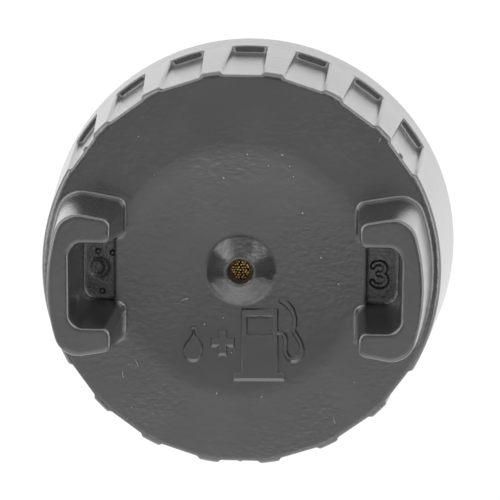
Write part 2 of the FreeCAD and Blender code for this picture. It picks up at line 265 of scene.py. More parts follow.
@dataclass(frozen=True)
class Finish:
    """A material and how its surface was made.

    Attributes:
        name: What the material is called in the file.
        colour: Its colour as sRGB hex.
        roughness: Its roughness where nothing varies it.
        ior: Its refractive index.
    """

    name: str
    colour: str
    roughness: float
    ior: float = 1.5

    def material(self) -> bpy.types.Material:
        """Build the material with its shader and its patterns.

        Returns:
            The finished material.
        """
        material = bpy.data.materials.new(self.name)
        tree = empty_tree(material)
        settings = {
            "Base Color": linear_colour(self.colour),
            "Roughness": self.roughness,
            "IOR": self.ior,
        }
        shader = add_node(tree, "ShaderNodeBsdfPrincipled", settings)
        place = add_node(tree, "ShaderNodeTexCoord").outputs["Object"]
        self.dress(Ground(tree, shader, place))
        add_node(tree, "ShaderNodeOutputMaterial", {"Surface": shader.outputs["BSDF"]})
        return material

    def dress(self, ground: Ground) -> None:
        """Add the surface's patterns."""
        raise NotImplementedError

    def two_tone(self, ground: Ground, share: bpy.types.NodeSocket, other_colour: str) -> None:
        """Mix the finish's colour with another one.

        Args:
            ground: What the finish is drawn on.
            share: How much of the other colour there is.
            other_colour: The other colour as sRGB hex.
        """
        tone = add_node(ground.tree, "ShaderNodeMix", {0: share}, data_type="RGBA")
        # The colour sockets come after the number sockets, which have the same names.
        first, second = [socket for socket in tone.inputs if socket.type == "RGBA"]
        first.default_value = linear_colour(self.colour)
        second.default_value = linear_colour(other_colour)
        ground.feed(next(s for s in tone.outputs if s.type == "RGBA"), "Base Color")


@dataclass(frozen=True)
class MouldedNylon(Finish):
    """Glass-filled nylon, injection moulded in a spark-eroded and then blasted steel mould.

    A skin of clear resin lies over the fibres, so it shows its surroundings twice, softly and with
    a slight orange peel. The melt left faint ripples on the face, and the eroded inserts of the
    pockets left a coarser grain on their floors. The peel, the ripples and both grains are drawn
    coarser or deeper than real ones, so that they show.

    Attributes:
        pale_colour: The colour where fibres lie near the skin.
        cloud: Those places.
        peel: The orange peel.
        ripple: The melt's ripples.
        ripple_patch: The patches in which they come and go.
        ripple_turn_deg: How far the ripples are turned from X.
        ripple_width: Their width as a share of their length.
        ripple_least: How much of their height is left between the patches.
        ripple_on_skirt: How much of it is left on the skirt.
        ripple_on_lugs: How much of it is left on the lugs.
        skirt_mm: The heights between which they grow from slight, on the skirt, to full.
        lug_mm: The heights between which they fade out, on the lugs.
        grain: The mould's blasted grain.
        insert: The coarse grain of the pockets' inserts.
        pocket_mm: The middle of a pocket's floor.
        pocket_reach_mm: How far the floor reaches from there.
        pocket_x_mm: How far from the axis the floor starts.
        pocket_top_mm: The height below which a surface belongs to a pocket.
        edge_mm: How much the mould's edges are rounded besides.
        roughness_swing: How much the roughness varies with the grain.
        coat: The weight of the resin skin.
        coat_ior: Its refractive index.
    """

    pale_colour: str = "#2e2e2e"
    cloud: Pattern = Pattern(6.0, detail=3.0)
    peel: Pattern = Pattern(0.9, 0.035)
    ripple: Pattern = Pattern(0.55, 0.06, 1.0)
    ripple_patch: Pattern = Pattern(9.0, detail=1.0)
    ripple_turn_deg: float = 28.0
    ripple_width: float = 0.65
    ripple_least: float = 0.2
    ripple_on_skirt: float = 0.25
    ripple_on_lugs: float = 0.1
    skirt_mm: tuple[float, float] = (22.0, 23.0)
    lug_mm: tuple[float, float] = (26.4, 27.4)
    grain: Pattern = Pattern(0.2, 0.0007)
    insert: Pattern = Pattern(0.32, 0.1, 3.0)
    pocket_mm: tuple[float, float, float] = (18.2, 0.0, 23.5)
    pocket_reach_mm: float = 4.8
    pocket_x_mm: float = 15.9
    pocket_top_mm: float = 24.0
    edge_mm: float = 0.6
    roughness_swing: float = 0.02
    coat: float = 1.0
    coat_ior: float = 1.6

    def dress(self, ground: Ground) -> None:
        """Add the fibres' clouds, roughness, rounded edges, orange peel, ripples and grain.

        Args:
            ground: What the finish is drawn on.
        """
        self.two_tone(ground, self.cloud.between(ground, 0.0, 1.0), self.pale_colour)
        low, high = self.roughness - self.roughness_swing, self.roughness + self.roughness_swing
        ground.feed(self.grain.between(ground, low, high), "Roughness")
        edge = add_node(ground.tree, "ShaderNodeBevel", {"Radius": self.edge_mm * MM}, samples=8)
        normal = self.peel.emboss(ground, normal=edge.outputs["Normal"])
        normal = self.ripple.emboss(ground, self.ripples(ground), normal)
        normal = self.grain.emboss(ground, normal=normal)
        normal = self.insert.emboss(ground, self.insert_grain(ground), normal)
        ground.feed(normal, "Normal", "Coat Normal")
        ground.set("Coat Weight", self.coat)
        ground.set("Coat IOR", self.coat_ior)
        ground.set("Coat Roughness", self.roughness)

    def ripples(self, ground: Ground) -> bpy.types.NodeSocket:
        """Draw the shallow ripples, which come and go over the face.

        Args:
            ground: What the finish is drawn on.

        Returns:
            Their height at each place.
        """
        turned = add_node(
            ground.tree,
            "ShaderNodeMapping",
            {
                "Vector": ground.place,
                "Rotation": (0.0, 0.0, math.radians(self.ripple_turn_deg)),
                "Scale": (self.ripple_width, 1.0, 1.0),
            },
        )
        return ground.product(
            self.ripple.draw(ground, turned.outputs["Vector"]),
            self.ripple_patch.between(ground, self.ripple_least, 1.0),
            ground.fade(*self.skirt_mm, self.ripple_on_skirt, 1.0),
            ground.fade(*self.lug_mm, 1.0, self.ripple_on_lugs),
        )

    def insert_grain(self, ground: Ground) -> bpy.types.NodeSocket:
        """Draw the coarse grain on the pockets' floors alone.

        Args:
            ground: What the finish is drawn on.

        Returns:
            Its height at each place.
        """
        tree = ground.tree
        # The two pockets are alike, so one test on the places without their signs does for both.
        place = add_node(tree, "ShaderNodeVectorMath", {0: ground.place}, operation="ABSOLUTE")
        middle = tuple(size * MM for size in self.pocket_mm)
        apart = add_node(
            tree, "ShaderNodeVectorMath", {0: place.outputs[0], 1: middle}, operation="DISTANCE"
        )
        parts = add_node(tree, "ShaderNodeSeparateXYZ", {"Vector": place.outputs[0]})
        tests = (
            (apart.outputs["Value"], "LESS_THAN", self.pocket_reach_mm),
            (parts.outputs["X"], "GREATER_THAN", self.pocket_x_mm),
            (parts.outputs["Z"], "LESS_THAN", self.pocket_top_mm),
        )
        inside = [
            add_node(tree, "ShaderNodeMath", {0: value, 1: limit * MM}, operation=test).outputs[0]
            for value, test, limit in tests
        ]
        return ground.product(self.insert.draw(ground), *inside)


@dataclass(frozen=True)
class MouldedRubber(Finish):
    """Rubber, compression moulded: dull, with a fine bloom that clouds it.

    Attributes:
        bloom_colour: The colour where the bloom is thick.
        bloom: The bloom's clouds.
        grain: The mould's grain.
    """

    bloom_colour: str = "#2a2a29"
    bloom: Pattern = Pattern(3.0, detail=4.0)
    grain: Pattern = Pattern(0.15, 0.006)

    def dress(self, ground: Ground) -> None:
        """Add the bloom and the grain."""
        self.two_tone(ground, self.bloom.between(ground, 0.0, 1.0), self.bloom_colour)
        ground.feed(self.grain.emboss(ground), "Normal")


@dataclass(frozen=True)
class NaturalAcetal(Finish):
    """Unfilled acetal, injection moulded: waxy white, a little translucent.

    Attributes:
        wave: The slight waves of a surface that sank as it set.
        roughness_swing: How much the roughness varies with them.
        depth_mm: How far light goes into it.
        depth_share: How much of the light does.
    """

    wave: Pattern = Pattern(4.0, 0.02)
    roughness_swing: float = 0.06
    depth_mm: float = 0.4
    depth_share: float = 0.15

    def dress(self, ground: Ground) -> None:
        """Add the waxy depth and the waves.

        Args:
            ground: What the finish is drawn on.
        """
        ground.feed(self.wave.emboss(ground), "Normal")
        low, high = self.roughness - self.roughness_swing, self.roughness + self.roughness_swing
        ground.feed(self.wave.between(ground, low, high), "Roughness")
        ground.set("Subsurface Weight", self.depth_share)
        ground.set("Subsurface Scale", self.depth_mm * MM)


@dataclass(frozen=True)
class SinteredBronze(Finish):
    """Tin bronze balls, sintered: golden, with painted shade that darkens them towards the gaps
    between them.

    Attributes:
        gap_shade_colour: The colour of the painted shade in the gaps between the balls.
        gap_shade_full_mm: The height up to which the painted shade covers the balls fully.
        gap_shade_end_mm: The height from which the balls have no painted shade.
        pits: The pits in a ball's skin.
    """

    gap_shade_colour: str = "#0a0604"
    gap_shade_full_mm: float = 23.205
    gap_shade_end_mm: float = 23.265
    pits: Pattern = Pattern(0.06, 0.002)

    def dress(self, ground: Ground) -> None:
        """Add the painted shade in the gaps between the balls, and the balls' pitted skin.

        Args:
            ground: What the finish is drawn on.
        """
        # Painted shade: below a height the balls turn dark, as shade in the gaps between them
        # would.
        painted_gap_shade = ground.fade(self.gap_shade_full_mm, self.gap_shade_end_mm, 1.0, 0.0)
        self.two_tone(ground, painted_gap_shade, self.gap_shade_colour)
        ground.feed(self.pits.emboss(ground), "Normal")
        ground.set("Metallic", 1.0)


@dataclass(frozen=True)
class SettledDust(Finish):
    """Dust and lint from handling: pale, fibrous and quite dull.

    Attributes:
        clump: The clumps of its fibres.
    """

    clump: Pattern = Pattern(0.08, 0.01)

    def dress(self, ground: Ground) -> None:
        """Add the clumps."""
        ground.feed(self.clump.emboss(ground), "Normal")


@dataclass(frozen=True)
class WhiteTable:
    """A white photographer's table that shows as plain white and keeps a faint shadow.

    Attributes:
        plain_share: How much of its shown brightness doesn't depend on the lamps.
        shadow_share: How much of it does.
        albedo: What it throws back onto the cap.
        half_size_m: Half its side.
    """

    plain_share: float = 0.93
    shadow_share: float = 0.12
    albedo: float = 0.85
    half_size_m: float = 1.5

    def material(self) -> bpy.types.Material:
        """Build the table's material: white to the camera and in reflections, paper to the rest.

        Returns:
            The material.
        """
        material = bpy.data.materials.new("white_table_paper")
        tree = empty_tree(material)
        path = add_node(tree, "ShaderNodeLightPath")
        shown = path.outputs["Is Camera Ray"]
        for ray in ("Is Glossy Ray", "Is Transmission Ray"):
            rays = {0: shown, 1: path.outputs[ray]}
            shown = add_node(tree, "ShaderNodeMath", rays, operation="MAXIMUM").outputs[0]
        paper = add_node(tree, "ShaderNodeBsdfDiffuse", {"Color": (self.albedo,) * 3 + (1.0,)})
        shade = (self.shadow_share,) * 3 + (1.0,)
        faint = add_node(tree, "ShaderNodeBsdfDiffuse", {"Color": shade})
        plain = add_node(tree, "ShaderNodeEmission", {"Color": WHITE, "Strength": self.plain_share})
        white = add_node(tree, "ShaderNodeAddShader", {0: plain.outputs[0], 1: faint.outputs[0]})
        choice = {0: shown, 1: paper.outputs[0], 2: white.outputs[0]}
        both = add_node(tree, "ShaderNodeMixShader", choice)
        add_node(tree, "ShaderNodeOutputMaterial", {"Surface": both.outputs[0]})
        return material

    def build(self) -> None:
        """Lay the table in the plane that the cap rests on."""
        s = self.half_size_m
        mesh = bpy.data.meshes.new("white_table")
        mesh.from_pydata([(-s, -s, 0), (s, -s, 0), (s, s, 0), (-s, s, 0)], [], [(0, 1, 2, 3)])
        mesh.materials.append(self.material())
        table = bpy.data.objects.new("white_table", mesh)
        bpy.context.scene.collection.objects.link(table)


@dataclass(frozen=True)
class PhotoCamera:
    """The camera of the photograph, fitted to the cap's outlines.

    The cap is turned by the tilts and shifted, and the camera looks down Z at it.

    Attributes:
        tilts_deg: The cap's turns about X, Y and Z.
        shift_mm: Its shift after them.
        distance_mm: The camera's distance from the shifted cap's foot.
        focal_px: The focal length in the photograph's pixels.
        frame_px: How many pixels wide the photograph is.
        sensor_mm: How wide the sensor is.
        clip_m: How near and how far the camera sees.
    """

    tilts_deg: tuple[float, float, float] = (9.53, -3.24, -0.46)
    shift_mm: tuple[float, float, float] = (0.14, 1.33, 0.0)
    distance_mm: float = 299.94
    focal_px: float = 2163.49
    frame_px: int = 500
    sensor_mm: float = 36.0
    clip_m: tuple[float, float] = (0.01, 20.0)

    def build(self) -> None:
        """Set the camera up and make it the scene's own."""
        turns = [
            Matrix.Rotation(math.radians(tilt), 3, axis)
            for tilt, axis in zip(self.tilts_deg, "XYZ")
        ]
        back = (turns[0] @ turns[1] @ turns[2]).transposed()
        place = back @ (Vector((0, 0, self.distance_mm)) - Vector(self.shift_mm)) * MM
        data = bpy.data.cameras.new("photo_camera")
        data.sensor_width = self.sensor_mm
        data.lens = self.focal_px * self.sensor_mm / self.frame_px
        data.clip_start, data.clip_end = self.clip_m
        camera = bpy.data.objects.new("photo_camera", data)
        camera.matrix_world = Matrix.Translation(place) @ back.to_4x4()
        bpy.context.scene.collection.objects.link(camera)
        bpy.context.scene.camera = camera


@dataclass(frozen=True)
class Softbox:
    """One rectangular studio lamp that faces the cap.

    Attributes:
        name: What the lamp is called.
        azimuth_deg: Its direction from the cap, from +X towards +Y.
        elevation_deg: Its height above the table, as an angle.
        width_deg: How wide it looks from the cap.
        height_deg: How high it looks from there.
        brightness: How bright its face is, where 1 is white.
        distance_m: How far it stands from the cap.
    """

    name: str
    azimuth_deg: float
    elevation_deg: float
    width_deg: float
    height_deg: float
    brightness: float
    distance_m: float = 1.0

    def build(self) -> None:
        """Stand the lamp up."""
        azimuth, elevation = math.radians(self.azimuth_deg), math.radians(self.elevation_deg)
        level = math.cos(elevation)
        x, y = level * math.cos(azimuth), level * math.sin(azimuth)
        towards = Vector((x, y, math.sin(elevation)))
        data = bpy.data.lights.new(self.name, "AREA")
        data.shape = "RECTANGLE"
        data.size = 2 * self.distance_m * math.tan(math.radians(self.width_deg / 2))
        data.size_y = 2 * self.distance_m * math.tan(math.radians(self.height_deg / 2))
        data.energy = self.brightness * math.pi * data.size * data.size_y
        lamp = bpy.data.objects.new(self.name, data)
        facing = towards.to_track_quat("Z", "Y").to_matrix().to_4x4()
        lamp.matrix_world = Matrix.Translation(towards * self.distance_m) @ facing
        lamp.visible_camera = False
        bpy.context.scene.collection.objects.link(lamp)


@dataclass(frozen=True)
class Room:
    """The room's own light: bright walls near the table's level, and a darker ceiling.

    Attributes:
        walls: How bright the walls are.
        ceiling: How bright the ceiling is.
        wall_top_deg: Where the walls end, as an angle above the table.
        blend: How wide their soft end is, in the sine of that angle.
    """

    walls: float = 1.6
    ceiling: float = 0.1
    wall_top_deg: float = 20.0
    blend: float = 0.12

    def build(self) -> None:
        """Make the world, which the camera sees as plain white past the table."""
        world = bpy.data.worlds.new("studio_room")
        bpy.context.scene.world = world
        tree = empty_tree(world)
        direction = add_node(tree, "ShaderNodeTexCoord").outputs["Generated"]
        up = add_node(tree, "ShaderNodeSeparateXYZ", {"Vector": direction}).outputs["Z"]
        edge = math.sin(math.radians(self.wall_top_deg))
        ends = {"From Min": edge - self.blend / 2, "From Max": edge + self.blend / 2}
        levels = {"To Min": self.walls, "To Max": self.ceiling}
        level = add_node(tree, "ShaderNodeMapRange", {"Value": up, **ends, **levels})
        lit = {"Color": WHITE, "Strength": level.outputs["Result"]}
        room = add_node(tree, "ShaderNodeBackground", lit)
        shown = add_node(tree, "ShaderNodeBackground", {"Color": WHITE, "Strength": 1.0})
        seen = add_node(tree, "ShaderNodeLightPath").outputs["Is Camera Ray"]
        choice = {0: seen, 1: room.outputs[0], 2: shown.outputs[0]}
        both = add_node(tree, "ShaderNodeMixShader", choice)
        add_node(tree, "ShaderNodeOutputWorld", {"Surface": both.outputs[0]})


@dataclass(frozen=True)
class Studio:
    """Everything that the cap is photographed with.

    Attributes:
        table: What the cap lies on.
        camera: The photograph's camera.
        room: The light of the room itself.
        softboxes: The lamps, whose brightnesses were fitted to the photograph.
    """

    table: WhiteTable = WhiteTable()
    camera: PhotoCamera = PhotoCamera()
    room: Room = Room()
    softboxes: tuple[Softbox, ...] = (
        Softbox("front_softbox", 264.0, 42.0, 40.0, 38.0, 1.2),
        Softbox("front_right_softbox", 307.0, 44.0, 36.0, 36.0, 1.1),
        Softbox("front_left_softbox", 210.0, 52.0, 40.0, 24.0, 0.9),
        Softbox("left_softbox", 172.0, 24.0, 32.0, 34.0, 2.25),
        Softbox("right_softbox", 5.0, 20.0, 46.0, 26.0, 2.2),
        Softbox("rear_right_softbox", 30.0, 52.0, 40.0, 22.0, 0.55),
        Softbox("low_right_softbox", 45.0, 24.0, 36.0, 22.0, 2.9),
        Softbox("low_rear_softbox", 90.0, 25.0, 50.0, 22.0, 1.2),
        Softbox("low_left_softbox", 135.0, 20.0, 36.0, 22.0, 2.4),
        Softbox("rear_left_softbox", 140.0, 40.0, 34.0, 26.0, 1.0),
        Softbox("top_softbox", 90.0, 80.0, 40.0, 26.0, 0.5),
        Softbox("top_front_softbox", 270.0, 72.0, 36.0, 26.0, 0.7),
    )

    def build(self) -> None:
        """Set up everything that isn't the cap."""
        self.table.build()
        self.camera.build()
        self.room.build()
        for softbox in self.softboxes:
            softbox.build()
        bpy.context.scene.view_settings.view_transform = "Standard"


class Skin:
    """The shell's own surface, which the added details are laid on."""

    def __init__(self, shell: bpy.types.Object) -> None:
        """Take the shell's mesh.

        Args:
            shell: The CAD node of the cap's moulding.
        """
        corners = [shell.matrix_world @ v.co for v in shell.data.vertices]
        self.tree = BVHTree.FromPolygons(corners, [tuple(p.vertices) for p in shell.data.polygons])

    def height(self, x_mm: float, y_mm: float, from_mm: float) -> float:
        """Height of the first surface below a point, in millimetres.

        Args:
            x_mm: Where, along X.
            y_mm: Where, along Y.
            from_mm: The height to look down from.

        Returns:
            The surface's height above the table.
        """
        start = Vector((x_mm, y_mm, from_mm)) * MM
        hit = self.tree.ray_cast(start, Vector((0, 0, -1)))[0]
        if hit is None:
            raise ValueError(f"no surface below {x_mm}, {y_mm}, {from_mm}")
        return hit.z / MM

    def nearest(self, point_mm: tuple[float, float, float]) -> tuple[Vector, Vector]:
        """The surface point nearest to a point, in metres, and the surface's normal there."""
        place, normal, _, _ = self.tree.find_nearest(Vector(point_mm) * MM)
        return place, normal


def smooth_line(points: Points, closed: bool, steps: int = 8) -> np.ndarray:
    """Pass a smooth line through points.

    Args:
        points: The points, in order.
        closed: Whether the line comes back to its start.
        steps: How many straight pieces stand between two points.

    Returns:
        The line's points as rows.
    """
    p = np.array(points, dtype=float)
    count = len(p)
    if closed:
        padded = np.vstack([p[-1], p, p[0], p[1]])
    else:
        padded = np.vstack([2 * p[0] - p[1], p, 2 * p[-1] - p[-2]])
    spans = count if closed else count - 1
    t = np.linspace(0, 1, steps, endpoint=False)[:, None]
    rows = []
    for i in range(spans):
        a, b, c, d = padded[i : i + 4]
        square = 2 * a - 5 * b + 4 * c - d
        cube = 3 * b - a - 3 * c + d
        rows.append(0.5 * (2 * b + (c - a) * t + square * t**2 + cube * t**3))
    rows.append(p[:1] if closed else p[-1:])
    return np.vstack(rows)


def line_distance(places: np.ndarray, line: np.ndarray) -> np.ndarray:
    """Measure how far places are from a line of straight pieces.

    Args:
        places: The places as rows of X and Y.
        line: The line's points as rows.

    Returns:
        The distance of each place.
    """
    best = np.full(len(places), np.inf)
    for a, b in zip(line, line[1:]):
        along = b - a
        share = np.clip(((places - a) @ along) / max(along @ along, 1e-12), 0, 1)
        best = np.minimum(best, np.linalg.norm(places - a - share[:, None] * along, axis=1))
    return best


class Outline:
    """A flat form on the face. Its distance is below zero inside it, in millimetres."""

    def distance(self, places: np.ndarray) -> np.ndarray:
        """Signed distance of each place from the form's edge."""
        raise NotImplementedError

    def box(self) -> tuple[np.ndarray, np.ndarray]:
        """Lowest and highest corner of the form."""
        raise NotImplementedError


@dataclass(frozen=True)
class Stroke(Outline):
    """A smooth line drawn with a round tool.

    Attributes:
        points: The points that it passes.
        width: The tool's width.
    """

    points: Points
    width: float

    def distance(self, places: np.ndarray) -> np.ndarray:
        """Signed distance of each place from the stroke's edge."""
        return line_distance(places, smooth_line(self.points, False)) - self.width / 2

    def box(self) -> tuple[np.ndarray, np.ndarray]:
        """Lowest and highest corner of the stroke."""
        line = smooth_line(self.points, False)
        return line.min(0) - self.width / 2, line.max(0) + self.width / 2


@dataclass(frozen=True)
class Patch(Outline):
    """A closed form through given corners.

    Attributes:
        corners: The corners, in order.
        smooth: Whether a smooth line passes them, and not straight pieces.
        round: How far the form reaches beyond that line, which also rounds its corners.
    """

    corners: Points
    smooth: bool = False
    round: float = 0.0

    def line(self) -> np.ndarray:
        """Draw the line through the corners.

        Returns:
            Its points as rows, of which the last is the first again.
        """
        if self.smooth:
            return smooth_line(self.corners, True)
        return np.array(self.corners + self.corners[:1], dtype=float)

    def distance(self, places: np.ndarray) -> np.ndarray:
        """Measure how far places are from the form's edge.

        Args:
            places: The places as rows of X and Y.

        Returns:
            The distance of each place, below zero inside.
        """
        line = self.line()
        inside = np.zeros(len(places), dtype=bool)
        x, y = places[:, 0], places[:, 1]
        for (ax, ay), (bx, by) in zip(line, line[1:]):
            if ay == by:
                continue
            crosses = (ay > y) != (by > y)
            inside ^= crosses & (x < (bx - ax) * (y - ay) / (by - ay) + ax)
        gap = line_distance(places, line)
        return np.where(inside, -gap, gap) - self.round

    def box(self) -> tuple[np.ndarray, np.ndarray]:
        """Lowest and highest corner of the form."""
        line = self.line()
        return line.min(0) - self.round, line.max(0) + self.round


@dataclass(frozen=True)
class Relief:
    """Raised forms on the shell's face, as one closed skin that follows the face.

    Attributes:
        name: The piece's name.
        raised: The forms that stand up.
        sunk: Forms inside them that don't.
        rise_mm: How far they stand up.
        flank_mm: How wide their steep sides are.
        near_flank_mm: How wide the gentler sides are, which face -Y.
        near_shift: How far those are moved outwards, as a share of their width.
        from_mm: The height from which the face is looked for.
        cell_mm: The mesh's fineness.
        bed_mm: How deep the skin's edge and underside lie in the shell.
    """

    name: str
    raised: tuple[Outline, ...]
    sunk: tuple[Outline, ...] = ()
    rise_mm: float = 0.4
    flank_mm: float = 0.18
    near_flank_mm: float = 0.52
    near_shift: float = 0.1
    from_mm: float = 26.0
    cell_mm: float = 0.036
    bed_mm: float = 0.03

    def gap(self, places: np.ndarray) -> np.ndarray:
        """Measure how far places are from the nearest raised form.

        Args:
            places: The places as rows of X and Y.

        Returns:
            The distance of each place, below zero inside a form.
        """
        gap = np.min([form.distance(places) for form in self.raised], axis=0)
        for form in self.sunk:
            gap = np.maximum(gap, -form.distance(places))
        return gap

    def share(self, places: np.ndarray) -> np.ndarray:
        """How much of the rise each place has, from 0 to 1.

        Args:
            places: The places as rows of X and Y.

        Returns:
            The share at each place.
        """
        gap = self.gap(places)
        beyond = self.gap(places - np.array([0.0, self.cell_mm]))
        faces_near = np.clip((beyond - gap) / self.cell_mm, 0, 1) ** 2
        width = self.flank_mm + (self.near_flank_mm - self.flank_mm) * faces_near
        # Half the height is reached on the form's edge, or a little outside it on a gentle side.
        return np.clip(0.5 + self.near_shift * faces_near - gap / width, 0, 1)

    def build(self, skin: Skin, material: bpy.types.Material) -> None:
        """Make the raised skin.

        Args:
            skin: The shell's surface.
            material: The relief's finish.
        """
        boxes = [form.box() for form in self.raised]
        low = np.min([b[0] for b in boxes], axis=0) - self.near_flank_mm
        high = np.max([b[1] for b in boxes], axis=0) + self.near_flank_mm
        counts = np.ceil((high - low) / self.cell_mm).astype(int) + 1
        xs = np.linspace(low[0], high[0], counts[0])
        ys = np.linspace(low[1], high[1], counts[1])
        gx, gy = np.meshgrid(xs, ys, indexing="ij")
        places = np.stack([gx.ravel(), gy.ravel()], axis=1)
        share = self.share(places)
        up = (share > 0).reshape(counts)
        near = up.copy()
        near[1:] |= up[:-1]
        near[:-1] |= up[1:]
        near[:, 1:] |= near[:, :-1].copy()
        near[:, :-1] |= near[:, 1:].copy()
        index = -np.ones(len(places), dtype=int)
        verts = []
        for i in np.flatnonzero(near.ravel()):
            x, y = places[i]
            ground = skin.height(float(x), float(y), self.from_mm)
            z = ground - self.bed_mm + (self.rise_mm + self.bed_mm) * share[i]
            index[i] = len(verts)
            verts.append((x * MM, y * MM, z * MM))
        grid = index.reshape(counts)
        faces = []
        for i in range(counts[0] - 1):
            for j in range(counts[1] - 1):
                quad = [grid[i, j], grid[i + 1, j], grid[i + 1, j + 1], grid[i, j + 1]]
                if min(quad) >= 0 and up[i : i + 2, j : j + 2].any():
                    faces.append(tuple(int(v) for v in quad))
        mesh = bpy.data.meshes.new(self.name)
        mesh.from_pydata(verts, [], faces)
        close_underside(mesh, self.bed_mm)
        finished(self.name, mesh, material)


def close_underside(mesh: bpy.types.Mesh, depth_mm: float) -> None:
    """Close an open skin with an underside that lies a little lower.

    Args:
        mesh: The open skin.
        depth_mm: How far down the underside lies.
    """
    bm = bmesh.new()
    bm.from_mesh(mesh)
    bmesh.ops.delete(bm, geom=[v for v in bm.verts if not v.link_faces], context="VERTS")
    top_faces = list(bm.faces)
    for face in top_faces:
        face.smooth = True
    under = bmesh.ops.duplicate(bm, geom=top_faces)
    low_faces = [g for g in under["geom"] if isinstance(g, bmesh.types.BMFace)]
    low_verts = {v for f in low_faces for v in f.verts}
    for vert in low_verts:
        vert.co.z -= 2 * depth_mm * MM
    bmesh.ops.reverse_faces(bm, faces=low_faces)
    top_rim = [e for f in top_faces for e in f.edges if e.is_boundary]
    pair = under["vert_map"]
    for edge in top_rim:
        a, b = edge.verts
        face = edge.link_faces[0]
        corners = list(face.verts)
        if corners[(corners.index(a) + 1) % len(corners)] is not b:
            a, b = b, a
        bm.faces.new((b, a, pair[a], pair[b]))
    bmesh.ops.recalc_face_normals(bm, faces=bm.faces)
    bm.to_mesh(mesh)
    bm.free()


def join_rings(bm: bmesh.types.BMesh, rings: list[list[bmesh.types.BMVert]]) -> None:
    """Join rings of corners into a tube with closed ends.

    Args:
        bm: The mesh that holds the corners.
        rings: The rings, each with its corners in the same order.
    """
    for low, high in zip(rings, rings[1:]):
        for k in range(len(low)):
            n = (k + 1) % len(low)
            bm.faces.new((low[k], low[n], high[n], high[k]))
    bm.faces.new(list(reversed(rings[0])))
    bm.faces.new(rings[-1])


def made_smooth(verts: list[bmesh.types.BMVert]) -> None:
    """Shade faces smoothly.

    Args:
        verts: The faces' corners.
    """
    for vert in verts:
        for face in vert.link_faces:
            face.smooth = True


def as_mesh(name: str, bm: bmesh.types.BMesh) -> bpy.types.Mesh:
    """Turn an edited form into a mesh and free it.

    Args:
        name: The mesh's name.
        bm: The edited form.

    Returns:
        The mesh.
    """
    mesh = bpy.data.meshes.new(name)
    bm.to_mesh(mesh)
    bm.free()
    return mesh


def finished(
    name: str, mesh: bpy.types.Mesh, material: bpy.types.Material
) -> bpy.types.Object:
    """Put a mesh into the scene as a piece of the cap.

    Args:
        name: The piece's name.
        mesh: Its mesh, in metres in the cap's frame.
        material: Its finish.

    Returns:
        The new object.
    """
    mesh.materials.append(material)
    piece = bpy.data.objects.new(name, mesh)
    bpy.context.scene.collection.objects.link(piece)
    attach(piece, BODY)
    LOG.info("%s: %d faces", name, len(mesh.polygons))
    return piece


@dataclass(frozen=True)
class FaceSigns:
    """The raised pictogram on the face: an oil drop, a plus and a fuel pump with its hose.

    Attributes:
        drop: The drop's edge.
        hose: The pump's hose, from the body to the nozzle.
        nozzle: The nozzle at its end.
        drop_cap: The bar over the drop.
        plus_level: The level bar of the plus.
        plus_upright: Its upright bar.
        pump_body: The pump's body.
        pump_window: The window in it.
        pump_foot: The foot under it.
        hose_width: How wide the hose is drawn.
        nozzle_width: How wide the nozzle is drawn.
        cap_round: The rounding of the bar over the drop.
        plus_round: The rounding of the plus.
        body_round: The rounding of the pump's body.
        foot_round: The rounding of its foot.
    """

    drop: Points = (
        (-5.99, -7.8), (-6.16, -8.41), (-6.5, -8.99), (-6.95, -9.56), (-7.23, -10.25),
        (-7.16, -10.94), (-6.69, -11.57), (-6.0, -11.79), (-5.32, -11.56), (-4.87, -10.93),
        (-4.76, -10.24), (-4.94, -9.61), (-5.35, -8.98), (-5.81, -8.41),
    )
    hose: Points = (
        (4.6, -8.02), (5.26, -8.08), (5.67, -8.36), (5.86, -8.87), (5.82, -9.56), (5.85, -10.36),
        (6.17, -11.05), (6.8, -11.38), (7.54, -11.16), (7.95, -10.51), (7.96, -9.83),
        (7.63, -8.92), (7.16, -8.19), (6.86, -7.69), (7.0, -6.88), (6.99, -6.01), (6.71, -5.16),
    )
    nozzle: Points = ((6.62, -5.0), (6.2, -4.5), (5.61, -4.0), (5.28, -3.8))
    drop_cap: Points = ((-6.3, -7.72), (-5.64, -7.72), (-5.64, -7.46), (-6.3, -7.46))
    plus_level: Points = ((-3.66, -9.84), (-0.78, -9.84), (-0.78, -8.86), (-3.66, -8.86))
    plus_upright: Points = ((-2.74, -10.93), (-1.74, -10.93), (-1.74, -7.9), (-2.74, -7.9))
    pump_body: Points = ((0.36, -13.5), (4.78, -13.4), (4.68, -5.1), (0.26, -5.2))
    pump_window: Points = ((0.88, -8.35), (4.16, -8.28), (4.13, -6.0), (0.85, -6.07))
    pump_foot: Points = ((-0.7, -14.1), (5.7, -13.95), (5.68, -13.15), (-0.7, -13.3))
    hose_width: float = 0.5
    nozzle_width: float = 0.66
    cap_round: float = 0.04
    plus_round: float = 0.02
    body_round: float = 0.14
    foot_round: float = 0.05

    def build(self, skin: Skin, material: bpy.types.Material) -> None:
        """Raise the three signs from the bowl.

        Args:
            skin: The shell's surface.
            material: Their finish.
        """
        drop = (Patch(self.drop, smooth=True), Patch(self.drop_cap, round=self.cap_round))
        Relief("oil_drop_sign", drop).build(skin, material)
        bars = (self.plus_level, self.plus_upright)
        plus = tuple(Patch(bar, round=self.plus_round) for bar in bars)
        Relief("plus_sign", plus).build(skin, material)
        pump = (
            Patch(self.pump_body, round=self.body_round),
            Patch(self.pump_foot, round=self.foot_round),
            Stroke(self.hose, self.hose_width),
            Stroke(self.nozzle, self.nozzle_width),
        )
        Relief("fuel_pump_sign", pump, (Patch(self.pump_window),)).build(skin, material)


